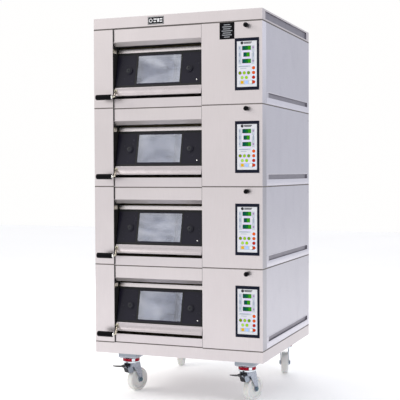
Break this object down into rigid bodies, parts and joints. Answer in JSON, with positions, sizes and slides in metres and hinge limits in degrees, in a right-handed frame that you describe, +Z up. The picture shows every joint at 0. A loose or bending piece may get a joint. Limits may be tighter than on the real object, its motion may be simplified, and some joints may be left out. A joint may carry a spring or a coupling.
{
  "type": "deck oven",
  "caption": "Free-standing electric deck oven with stacked decks, tilted glass-fronted doors that swing up, keypad controls and braked casters.",
  "frame": {"origin": "on the floor under the middle of the bounding box", "axes": "+X to the operator's right, +Y towards the back, +Z up"},
  "size_m": [0.963, 1.0747, 2.065],
  "materials": {
    "bezel_navy": "satin",
    "black_glass": "gloss",
    "black_grip": "satin",
    "black_knob": "gloss",
    "black_plate": "satin",
    "board_green": "satin",
    "bolt_steel": "satin",
    "brake_dark": "satin",
    "chamber_steel": "satin",
    "display_dark": "gloss",
    "element_steel": "matte",
    "galvanised_sheet": "satin",
    "gland_black": "matte",
    "hearth_stone": "matte",
    "key_plastic": "satin",
    "lamp_glass": "gloss",
    "mineral_wool": "matte",
    "overlay_white": "satin",
    "polished_steel": "polished",
    "red_ring": "gloss",
    "stainless_door": "satin",
    "stainless_panel": "satin",
    "stainless_side": "satin",
    "white_nylon": "satin",
    "window_glass": "gloss",
    "zinc_steel": "satin"
  },
  "bodies": {
    "oven_body": {"top_cap": "stainless_panel", "base_frame": "stainless_panel", "caster_plates": "zinc_steel", "caster_lock_rings": "red_ring", "marking_plates": "black_plate", "front_posts": "stainless_panel", "control_fascias": "stainless_panel", "header_panels": "stainless_panel", "lower_fascias": "stainless_panel", "side_panels": "stainless_side", "rear_panels": "stainless_side", "deck_trays": "galvanised_sheet", "chamber_liners": "chamber_steel", "insulation": "mineral_wool", "hearth_stones": "hearth_stone", "heating_elements": "element_steel", "chamber_lamps": "lamp_glass", "door_hinge_pins": "bolt_steel", "exhaust_ducts": "galvanised_sheet", "control_bezels": "bezel_navy", "keypad_overlays": "overlay_white", "display_modules": "display_dark", "keypad_keys": "key_plastic", "control_boards": "board_green", "cable_glands": "gland_black", "fasteners": "bolt_steel"},
    "door_1": {"door_frame_1": "stainless_door", "door_panel_1": "black_glass", "window_panes_1": "window_glass", "handle_arm_1": "polished_steel", "handle_grip_1": "black_grip"},
    "door_2": {"door_frame_2": "stainless_door", "door_panel_2": "black_glass", "window_panes_2": "window_glass", "handle_arm_2": "polished_steel", "handle_grip_2": "black_grip"},
    "door_3": {"door_frame_3": "stainless_door", "door_panel_3": "black_glass", "window_panes_3": "window_glass", "handle_arm_3": "polished_steel", "handle_grip_3": "black_grip"},
    "door_4": {"door_frame_4": "stainless_door", "door_panel_4": "black_glass", "window_panes_4": "window_glass", "handle_arm_4": "polished_steel", "handle_grip_4": "black_grip"},
    "damper_1": {"damper_pull_1": "black_knob"},
    "damper_2": {"damper_pull_2": "black_knob"},
    "damper_3": {"damper_pull_3": "black_knob"},
    "damper_4": {"damper_pull_4": "black_knob"},
    "caster_1": {"caster_fork_1": "zinc_steel"},
    "wheel_1": {"caster_wheel_1": "white_nylon"},
    "brake_1": {"brake_pedal_1": "brake_dark"},
    "caster_2": {"caster_fork_2": "zinc_steel"},
    "wheel_2": {"caster_wheel_2": "white_nylon"},
    "brake_2": {"brake_pedal_2": "brake_dark"},
    "caster_3": {"caster_fork_3": "zinc_steel"},
    "wheel_3": {"caster_wheel_3": "white_nylon"},
    "caster_4": {"caster_fork_4": "zinc_steel"},
    "wheel_4": {"caster_wheel_4": "white_nylon"}
  },
  "joints": [
    {"name": "door_1_hinge", "type": "hinge", "parent": "oven_body", "child": "door_1", "pos_m": [0, -0.37593, 0.6106], "axis": [-1, 0, 0], "range_deg": [0, 75]},
    {"name": "door_2_hinge", "type": "hinge", "parent": "oven_body", "child": "door_2", "pos_m": [0, -0.37593, 1.0356], "axis": [-1, 0, 0], "range_deg": [0, 75]},
    {"name": "door_3_hinge", "type": "hinge", "parent": "oven_body", "child": "door_3", "pos_m": [0, -0.37593, 1.4606], "axis": [-1, 0, 0], "range_deg": [0, 75]},
    {"name": "door_4_hinge", "type": "hinge", "parent": "oven_body", "child": "door_4", "pos_m": [0, -0.37593, 1.8856], "axis": [-1, 0, 0], "range_deg": [0, 75]},
    {"name": "damper_1_slide", "type": "slide", "parent": "oven_body", "child": "damper_1", "axis": [0, -1, 0], "range_m": [0, 0.04]},
    {"name": "damper_2_slide", "type": "slide", "parent": "oven_body", "child": "damper_2", "axis": [0, -1, 0], "range_m": [0, 0.04]},
    {"name": "damper_3_slide", "type": "slide", "parent": "oven_body", "child": "damper_3", "axis": [0, -1, 0], "range_m": [0, 0.04]},
    {"name": "damper_4_slide", "type": "slide", "parent": "oven_body", "child": "damper_4", "axis": [0, -1, 0], "range_m": [0, 0.04]},
    {"name": "caster_1_swivel", "type": "hinge", "parent": "oven_body", "child": "caster_1", "pos_m": [-0.342, -0.28923, 0.177], "axis": [0, 0, 1], "continuous": true},
    {"name": "wheel_1_axle", "type": "hinge", "parent": "caster_1", "child": "wheel_1", "pos_m": [-0.32558, -0.24413, 0.065], "axis": [-0.9397, 0.342, 0], "continuous": true},
    {"name": "brake_1_pivot", "type": "hinge", "parent": "caster_1", "child": "brake_1", "pos_m": [-0.34884, -0.30802, 0.15], "axis": [0.9397, -0.342, 0], "range_deg": [0, 10]},
    {"name": "caster_2_swivel", "type": "hinge", "parent": "oven_body", "child": "caster_2", "pos_m": [0.342, -0.28923, 0.177], "axis": [0, 0, 1], "continuous": true},
    {"name": "wheel_2_axle", "type": "hinge", "parent": "caster_2", "child": "wheel_2", "pos_m": [0.35842, -0.24413, 0.065], "axis": [-0.9397, 0.342, 0], "continuous": true},
    {"name": "brake_2_pivot", "type": "hinge", "parent": "caster_2", "child": "brake_2", "pos_m": [0.33516, -0.30802, 0.15], "axis": [0.9397, -0.342, 0], "range_deg": [0, 10]},
    {"name": "caster_3_swivel", "type": "hinge", "parent": "oven_body", "child": "caster_3", "pos_m": [-0.342, 0.43377, 0.177], "axis": [0, 0, 1], "continuous": true},
    {"name": "wheel_3_axle", "type": "hinge", "parent": "caster_3", "child": "wheel_3", "pos_m": [-0.3528, 0.48054, 0.065], "axis": [-0.9744, -0.225, 0], "continuous": true},
    {"name": "caster_4_swivel", "type": "hinge", "parent": "oven_body", "child": "caster_4", "pos_m": [0.342, 0.43377, 0.177], "axis": [0, 0, 1], "continuous": true},
    {"name": "wheel_4_axle", "type": "hinge", "parent": "caster_4", "child": "wheel_4", "pos_m": [0.3312, 0.48054, 0.065], "axis": [-0.9744, -0.225, 0], "continuous": true}
  ]
}
